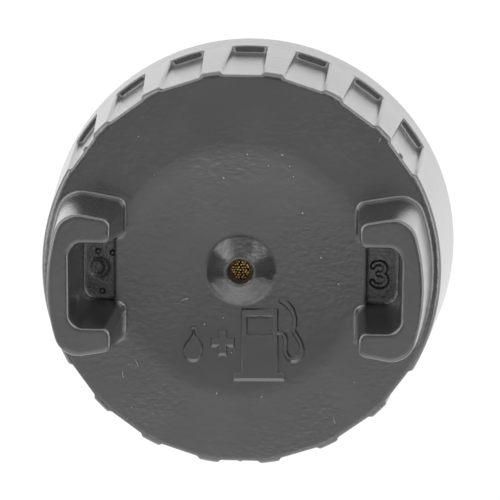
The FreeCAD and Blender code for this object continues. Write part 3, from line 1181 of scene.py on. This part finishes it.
@dataclass(frozen=True)
class PocketSigns:
    """The raised cavity numeral in the right pocket and the ejector pips in the left one.

    Attributes:
        numeral: The numeral's three strokes.
        numeral_width: How wide they are drawn.
        numeral_rise: How far the numeral stands up.
        numeral_near_flank: How wide its gentler sides are, which face -Y.
        pips: The pips' middles.
        pip_width: How wide a pip is.
        pip_rise: How far it stands up.
        pip_near_flank: How wide its gentler side is.
        flank: How wide the steep sides are.
        above: The height from which the pockets' floors are looked for.
        cell: The meshes' fineness.
    """

    numeral: tuple[Points, ...] = (
        (
            (16.86, 0.8), (17.1, 1.1), (17.6, 1.24), (18.16, 1.1), (18.46, 0.62), (18.36, 0.12),
            (18.02, -0.16),
        ),
        ((17.56, -0.16), (18.04, -0.17)),
        (
            (18.02, -0.18), (18.5, -0.52), (18.64, -1.03), (18.38, -1.52), (17.8, -1.72),
            (17.14, -1.58), (16.8, -1.2),
        ),
    )
    numeral_width: float = 0.56
    numeral_rise: float = 0.46
    numeral_near_flank: float = 0.45
    pips: Points = ((-18.35, 2.14), (-16.49, 1.95), (-17.83, -3.05))
    pip_width: float = 0.62
    pip_rise: float = 0.4
    pip_near_flank: float = 0.3
    flank: float = 0.22
    above: float = 24.2
    cell: float = 0.035

    def build(self, skin: Skin, material: bpy.types.Material) -> None:
        """Raise the numeral and the pips from the pockets' floors.

        Args:
            skin: The shell's surface.
            material: Their finish.
        """
        strokes = tuple(Stroke(points, self.numeral_width) for points in self.numeral)
        # A pip is a stroke too short to be seen as one.
        dots = tuple(Stroke(((x, y), (x + 0.01, y)), self.pip_width) for x, y in self.pips)
        for name, forms, rise, near_flank in (
            ("cavity_numeral", strokes, self.numeral_rise, self.numeral_near_flank),
            ("pocket_pips", dots, self.pip_rise, self.pip_near_flank),
        ):
            Relief(
                name,
                forms,
                rise_mm=rise,
                flank_mm=self.flank,
                near_flank_mm=near_flank,
                from_mm=self.above,
                cell_mm=self.cell,
            ).build(skin, material)


@dataclass(frozen=True)
class NeckThread:
    """The coarse female thread in the skirt, which the solids leave as a plain bore.

    Attributes:
        root_r: The bore's radius.
        crest_r: The radius of the ridge's crest.
        pitch: How far one turn climbs.
        start_z: The height at which the ridge starts.
        turns: How many turns it has.
        base_half: Half the ridge's width at its foot.
        crest_half: Half its width near its crest.
        corner: How far the crest's corners are cut, along the axis and either way.
        corner_depth: How far they are cut towards the wall.
        bed: How deep the ridge's foot lies in the wall.
        run_out_deg: How long the ridge takes to grow to its full height at either end.
        least_share: The share of its height that its very ends have.
        step_deg: The mesh's fineness.
    """

    root_r: float = 22.87
    crest_r: float = 21.55
    pitch: float = 4.0
    start_z: float = 4.9
    turns: float = 2.0
    base_half: float = 1.15
    crest_half: float = 0.4
    corner: float = 0.1
    corner_depth: float = 0.15
    bed: float = 0.05
    run_out_deg: float = 35.0
    least_share: float = 0.02
    step_deg: float = 3.0

    def profile(self, share: float) -> list[tuple[float, float]]:
        """Draw the ridge's section.

        Args:
            share: How much of its full height it has there, from 0 to 1.

        Returns:
            The radius and the height of each corner.
        """
        crest = self.root_r - (self.root_r - self.crest_r) * max(share, self.least_share)
        cut = crest + self.corner_depth * share
        return [
            (self.root_r + self.bed, -self.base_half),
            (cut, -self.crest_half - self.corner),
            (crest, -self.crest_half + self.corner),
            (crest, self.crest_half - self.corner),
            (cut, self.crest_half + self.corner),
            (self.root_r + self.bed, self.base_half),
        ]

    def build(self, material: bpy.types.Material) -> None:
        """Wind the thread's ridge up the bore.

        Args:
            material: The shell's finish.
        """
        steps = int(round(self.turns * 360 / self.step_deg))
        bm = bmesh.new()
        rings = []
        for i in range(steps + 1):
            angle = math.radians(i * self.step_deg)
            z = self.start_z + self.pitch * i * self.step_deg / 360
            ends = min(i, steps - i) * self.step_deg / self.run_out_deg
            ring = []
            for r, dz in self.profile(math.sin(min(ends, 1.0) * math.pi / 2)):
                corner = Vector((r * math.cos(angle), r * math.sin(angle), z + dz))
                ring.append(bm.verts.new(corner * MM))
            rings.append(ring)
        join_rings(bm, rings)
        bmesh.ops.recalc_face_normals(bm, faces=bm.faces)
        for face in bm.faces:
            face.smooth = len(face.verts) == 4
        finished("neck_thread_ridge", as_mesh("neck_thread_ridge", bm), material)


@dataclass(frozen=True)
class BreatherFilter:
    """The sintered bronze disc, with its balls, which replaces the plain disc of the solids.

    Attributes:
        radius: The disc's radius.
        bottom: The height of its underside.
        top: The height of the highest balls.
        ball_r: The balls' usual radius.
        ball_sizes: The smallest and the largest ball, as shares of that.
        sunk: How far a ball may lie below the highest ones, as a share of its radius.
        body_depth: How far below the top the plain body ends, in balls' radii.
        spread: How far apart the balls are, in their radii.
        jitter: How far a ball may lie from its place in the rows.
        sides: How many sides the body's circle has.
        seed: What fixes the random sizes and places.
    """

    radius: float = 3.0
    bottom: float = 21.3
    top: float = 23.3
    ball_r: float = 0.19
    ball_sizes: tuple[float, float] = (0.85, 1.1)
    sunk: float = 0.2
    body_depth: float = 1.6
    spread: float = 2.02
    jitter: float = 0.06
    sides: int = 64
    seed: int = 7

    def build(self, material: bpy.types.Material) -> None:
        """Press the balls into the disc and let it stand for the CAD node.

        Args:
            material: The bronze.
        """
        draw = random.Random(self.seed)
        bm = bmesh.new()
        body_top = self.top - self.body_depth * self.ball_r
        bmesh.ops.create_cone(
            bm,
            cap_ends=True,
            segments=self.sides,
            radius1=self.radius * MM,
            radius2=self.radius * MM,
            depth=(body_top - self.bottom) * MM,
            matrix=Matrix.Translation((0, 0, (body_top + self.bottom) / 2 * MM)),
        )
        pitch = self.spread * self.ball_r
        row_pitch = pitch * math.sqrt(0.75)
        rows = int(self.radius / row_pitch) + 1
        for row in range(-rows, rows + 1):
            for column in range(-rows, rows + 1):
                x = (column + 0.5 * (row % 2)) * pitch + draw.uniform(-self.jitter, self.jitter)
                y = row * row_pitch + draw.uniform(-self.jitter, self.jitter)
                size = self.ball_r * draw.uniform(*self.ball_sizes)
                low = draw.uniform(0, self.sunk) * self.ball_r
                if math.hypot(x, y) > self.radius - size:
                    continue
                place = Matrix.Translation(Vector((x, y, self.top - size - low)) * MM)
                ball = bmesh.ops.create_icosphere(
                    bm, subdivisions=2, radius=size * MM, matrix=place
                )
                made_smooth(ball["verts"])
        piece = finished("breather_filter", as_mesh("breather_filter", bm), material)
        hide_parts("vent_filter")


@dataclass(frozen=True)
class MouldingMarks:
    """What the mould left: nubs of the gates in three recesses.

    Attributes:
        gates: The gates' places, which are moved onto the shell.
        gate_r: A nub's radius.
        flatness: Its height as a share of that.
        wobble: How much its edge strays from a circle, as a share of its radius.
        waves: How often it does so, along either side.
    """

    gates: tuple[tuple[float, float, float], ...] = (
        (-20.0, 15.25, 23.2),
        (20.3, 15.1, 23.2),
        (0.12, -24.9, 23.2),
    )
    gate_r: float = 0.42
    flatness: float = 0.55
    wobble: float = 0.12
    waves: tuple[float, float] = (5.0, 3.0)

    def build(self, skin: Skin, material: bpy.types.Material) -> None:
        """Add the gates' nubs.

        Args:
            skin: The shell's surface.
            material: The shell's finish.
        """
        bm = bmesh.new()
        for gate in self.gates:
            place, normal = skin.nearest(gate)
            turn = normal.to_track_quat("Z", "Y").to_matrix()
            nub = bmesh.ops.create_icosphere(bm, subdivisions=3, radius=1.0)
            for vert in nub["verts"]:
                x, y, z = vert.co
                out = 1 + self.wobble * math.sin(self.waves[0] * x + self.waves[1] * y)
                local = Vector((x * out, y * out, z * self.flatness)) * self.gate_r * MM
                vert.co = place + turn @ local
        made_smooth(list(bm.verts))
        finished("gate_nubs", as_mesh("gate_nubs", bm), material)


@dataclass(frozen=True)
class Dust:
    """Specks and short fibres that have settled on the face.

    Attributes:
        specks: Where the specks lie, in millimetres.
        fibres: Where the fibres' middles lie, their direction in degrees and their length.
        speck_r: The specks' usual radius.
        speck_sizes: The smallest and the largest speck, as shares of that.
        speck_rough: How far a speck's corners stray, as a share of its radius.
        speck_lift: How high its middle lies, as a share of its radius.
        fibre_r: The fibres' radius.
        fibre_taper: How fast it thins from its middle, as a share of its radius over its length.
        fibre_crest: The height of its section as a share of its radius.
        fibre_bend: How far it bows, as a share of its length.
        fibre_stray: How far it strays besides, to either side.
        fibre_steps: How many pieces it has.
        above: The height from which the face is looked for.
        seed: What fixes the random sizes.
    """

    specks: Points = (
        (-13.05, 17.06), (-11.04, 12.22), (-2.22, 11.9), (0.78, 15.02), (3.45, 13.6),
        (5.22, 15.01), (6.19, 13.57), (6.63, 12.24), (7.85, 7.52), (10.25, 1.84), (12.51, -1.49),
        (-4.62, -7.15), (-2.19, -6.26), (-1.11, -10.76), (-2.92, -16.0), (2.88, -16.32),
        (-13.94, -18.18), (14.76, -14.25), (-6.88, -3.85),
    )
    fibres: tuple[tuple[float, float, float, float], ...] = (
        (-7.26, -4.02, 25.0, 1.2),
        (-13.19, -12.27, 115.0, 1.1),
        (-15.01, -13.86, 100.0, 1.0),
        (12.27, -19.33, 110.0, 0.9),
        (17.48, 17.07, 60.0, 0.7),
    )
    speck_r: float = 0.075
    speck_sizes: tuple[float, float] = (0.7, 1.25)
    speck_rough: float = 0.3
    speck_lift: float = 0.3
    fibre_r: float = 0.028
    fibre_taper: float = 1.6
    fibre_crest: float = 1.7
    fibre_bend: float = 0.05
    fibre_stray: float = 0.02
    fibre_steps: int = 6
    above: float = 30.0
    seed: int = 3

    def build(self, skin: Skin, material: bpy.types.Material) -> None:
        """Scatter the specks and lay the fibres down.

        Args:
            skin: The shell's surface.
            material: The dust's finish.
        """
        draw = random.Random(self.seed)
        bm = bmesh.new()
        for x, y in self.specks:
            size = self.speck_r * draw.uniform(*self.speck_sizes)
            z = skin.height(x, y, self.above) + self.speck_lift * size
            place = Matrix.Translation(Vector((x, y, z)) * MM)
            speck = bmesh.ops.create_icosphere(bm, subdivisions=1, radius=size * MM, matrix=place)
            stray = self.speck_rough
            for vert in speck["verts"]:
                vert.co += Vector([draw.uniform(-stray, stray) * size * MM for _ in "xyz"])
        for x, y, turn, length in self.fibres:
            self.lay_fibre(bm, skin, draw, (x, y), math.radians(turn), length)
        finished("settled_dust", as_mesh("settled_dust", bm), material)

    def lay_fibre(
        self,
        bm: bmesh.types.BMesh,
        skin: Skin,
        draw: random.Random,
        middle: tuple[float, float],
        turn: float,
        length: float,
    ) -> None:
        """Lay one slightly bent fibre on the face, as a tube with three sides.

        Args:
            bm: The mesh that gets the fibre.
            skin: The shell's surface.
            draw: The source of its bends.
            middle: Where its middle lies.
            turn: Its direction.
            length: Its length.
        """
        along = Vector((math.cos(turn), math.sin(turn), 0))
        across = Vector((-along.y, along.x, 0))
        rings = []
        for i in range(self.fibre_steps + 1):
            share = i / self.fibre_steps - 0.5
            bend = self.fibre_bend * length * math.cos(math.pi * share)
            bend += draw.uniform(-self.fibre_stray, self.fibre_stray)
            flat = Vector((*middle, 0)) + along * share * length + across * bend
            flat.z = skin.height(flat.x, flat.y, self.above) + self.fibre_r
            thin = self.fibre_r * (1 - self.fibre_taper * abs(share))
            crest = Vector((0, 0, self.fibre_crest * thin))
            corners = [across * thin, crest, -across * thin]
            rings.append([bm.verts.new((flat + corner) * MM) for corner in corners])
        join_rings(bm, rings)


@dataclass(frozen=True)
class Cap:
    """The whole cap: its dressed solids and what is added to them.

    Attributes:
        nylon: The shell's finish.
        crisp_edge_mm: How much the signs' edges are rounded besides, which the mould left sharper.
        nitrile: The gasket's finish.
        fluoro: The valve's finish.
        acetal: The cage's finish.
        bronze: The filter's finish.
        lint: The dust's finish.
        signs: The pictogram on the face.
        pocket_signs: The signs in the pockets.
        thread: The neck's thread.
        breather: The filter's disc.
        marks: The gates' nubs.
        dust: The dust on the face.
    """

    nylon: MouldedNylon = MouldedNylon("moulded_glass_filled_nylon", "#262626", 0.25, 1.6)
    crisp_edge_mm: float = 0.03
    nitrile: MouldedRubber = MouldedRubber("moulded_nitrile_rubber", "#1c1c1b", 0.62, 1.52)
    fluoro: MouldedRubber = MouldedRubber(
        "moulded_fluoro_rubber", "#5a2a20", 0.55, 1.4, bloom_colour="#6b382c"
    )
    acetal: NaturalAcetal = NaturalAcetal("moulded_natural_acetal", "#dcdad2", 0.34, 1.48)
    bronze: SinteredBronze = SinteredBronze("sintered_tin_bronze", "#f6c888", 0.32)
    lint: SettledDust = SettledDust("settled_dust", "#b9b7b2", 0.9)
    signs: FaceSigns = FaceSigns()
    pocket_signs: PocketSigns = PocketSigns()
    thread: NeckThread = NeckThread()
    breather: BreatherFilter = BreatherFilter()
    marks: MouldingMarks = MouldingMarks()
    dust: Dust = Dust()

    def dress_solids(self, nodes: dict[str, bpy.types.Object]) -> bpy.types.Material:
        """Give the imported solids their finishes.

        Args:
            nodes: The CAD nodes by name.

        Returns:
            The shell's material, which the added details share.
        """
        nylon = self.nylon.material()
        finishes = {
            "cap_shell": nylon,
            "neck_gasket": self.nitrile.material(),
            "duckbill_valve": self.fluoro.material(),
            "valve_cage": self.acetal.material(),
        }
        for name, material in finishes.items():
            nodes[name].material_slots[0].material = material
            LOG.info("%s: %s", name, material.name)
        return nylon

    def build(self, nodes: dict[str, bpy.types.Object]) -> None:
        """Dress the solids and add every detail.

        Args:
            nodes: The CAD nodes by name.
        """
        nylon = self.dress_solids(nodes)
        sharper = replace(self.nylon, name="crisp_moulded_nylon", edge_mm=self.crisp_edge_mm)
        crisp = sharper.material()
        skin = Skin(nodes["cap_shell"])
        self.signs.build(skin, crisp)
        self.pocket_signs.build(skin, crisp)
        self.thread.build(nylon)
        self.breather.build(self.bronze.material())
        self.marks.build(skin, nylon)
        self.dust.build(skin, self.lint.material())


def main() -> None:
    """Build the cap and its studio."""
    logging.basicConfig(level=logging.INFO)
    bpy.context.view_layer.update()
    Studio().build()
    Cap().build(frame["nodes"])


if __name__ == "__main__":
    main()
